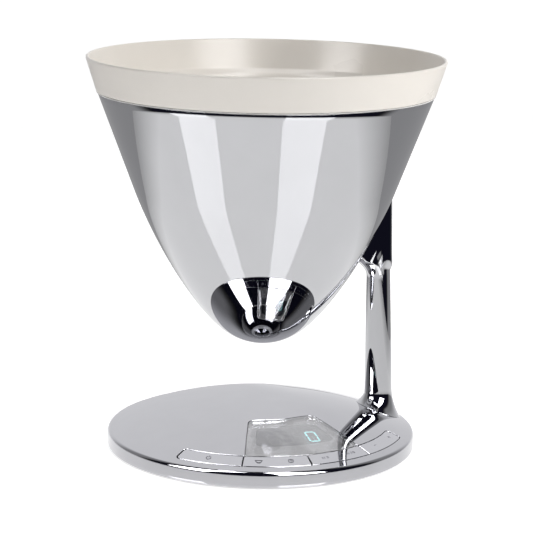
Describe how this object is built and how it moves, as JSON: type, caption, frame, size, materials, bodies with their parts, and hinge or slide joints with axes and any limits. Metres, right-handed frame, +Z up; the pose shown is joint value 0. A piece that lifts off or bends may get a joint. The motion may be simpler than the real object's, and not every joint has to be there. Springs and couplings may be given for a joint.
{
  "type": "kitchen scale",
  "caption": "Kitchen scale with a cream bowl in a tall chrome cone, held by an off-centre stem over a low domed base with a flush window and an arc of keys.",
  "frame": {"origin": "centre of the base disc on the plane it stands on", "axes": "+Z up along the axis of the cone and bowl, -Y towards the keys, +X towards the stem"},
  "size_m": [0.2512, 0.2512, 0.2785],
  "materials": {
    "chrome": "mirror-bright chrome plate",
    "cream": "satin cream plastic",
    "rubber": "soft matte",
    "window": "clear, polished",
    "grey_plastic": "fine satin",
    "display": "grey display panel with lit turquoise digit",
    "circuit_board": "lacquered laminate",
    "black_plastic": "moulded, fine grain",
    "steel": "zinc plated",
    "aluminium": "machined",
    "battery": "plain sleeve",
    "cable": "soft sleeve"
  },
  "bodies": {
    "tray": {"bottom_tray": "black_plastic", "rubber_foot_1": "rubber", "rubber_foot_2": "rubber", "rubber_foot_3": "rubber", "rubber_foot_4": "rubber", "battery_box": "black_plastic", "battery_cell_1": "battery", "battery_cell_2": "battery", "battery_cell_3": "battery", "battery_contact_left": "steel", "battery_contact_right": "steel", "load_cell": "aluminium", "cell_foot_spacer": "steel", "cell_foot_screw_1": "steel", "cell_foot_screw_2": "steel", "battery_cable": "cable"},
    "platform": {"base_cover": "chrome", "stem": "chrome", "cone": "chrome", "seat_ring": "rubber", "key_mat": "rubber", "display_window": "window", "display_bezel": "grey_plastic", "display_backlight": "grey_plastic", "display_glass": "display", "main_board": "circuit_board", "key_board": "circuit_board", "board_chip_1": "black_plastic", "board_chip_2": "black_plastic", "buzzer": "black_plastic", "chassis_plate": "steel", "stem_backing_plate": "steel", "cell_head_spacer": "steel", "board_screw_1": "steel", "board_screw_2": "steel", "board_screw_3": "steel", "board_screw_4": "steel", "chassis_screw_1": "steel", "chassis_screw_2": "steel", "chassis_screw_3": "steel", "chassis_screw_4": "steel", "stem_screw_1": "steel", "stem_screw_2": "steel", "stem_screw_3": "steel", "cone_screw_1": "steel", "cone_screw_2": "steel", "cell_head_screw_1": "steel", "cell_head_screw_2": "steel", "cell_cable": "cable"},
    "bowl": {"bowl": "cream"},
    "key_power": {"key_power": "chrome"},
    "key_bowl_timer": {"key_bowl_timer": "chrome"},
    "key_units": {"key_units": "chrome"},
    "key_plus_minus": {"key_plus_minus": "chrome"},
    "battery_door": {"battery_door": "black_plastic"}
  },
  "joints": [
    {"name": "platform_travel", "type": "slide", "parent": "tray", "child": "platform", "axis": [0, 0, 1], "range_m": [-0.0005, 0], "stiffness_N_per_m": 100000, "springref_m": 0.0005, "deforming": ["load_cell"]},
    {"name": "bowl_lift", "type": "slide", "parent": "platform", "child": "bowl", "axis": [0, 0, 1], "range_m": [0, 0.2]},
    {"name": "key_power_press", "type": "slide", "parent": "platform", "child": "key_power", "axis": [0, 0, 1], "range_m": [-0.0008, 0], "stiffness_N_per_m": 1500, "springref_m": 0.0002},
    {"name": "key_bowl_timer_rock", "type": "hinge", "parent": "platform", "child": "key_bowl_timer", "pos_m": [-0.02272, -0.09502, 0.0148], "axis": [-0.2326, -0.9726, 0], "range_deg": [-1.8, 1.8], "stiffness_Nm_per_rad": 0.6},
    {"name": "key_units_rock", "type": "hinge", "parent": "platform", "child": "key_units", "pos_m": [0.02272, -0.09502, 0.0148], "axis": [0.2326, -0.9726, 0], "range_deg": [-1.8, 1.8], "stiffness_Nm_per_rad": 0.6},
    {"name": "key_plus_minus_rock", "type": "hinge", "parent": "platform", "child": "key_plus_minus", "pos_m": [0.06326, -0.07446, 0.0148], "axis": [0.6475, -0.7621, 0], "range_deg": [-1.8, 1.8], "stiffness_Nm_per_rad": 0.6},
    {"name": "battery_door_hinge", "type": "hinge", "parent": "tray", "child": "battery_door", "pos_m": [0, 0.0646, 0.0022], "axis": [1, 0, 0], "range_deg": [0, 100]}
  ]
}
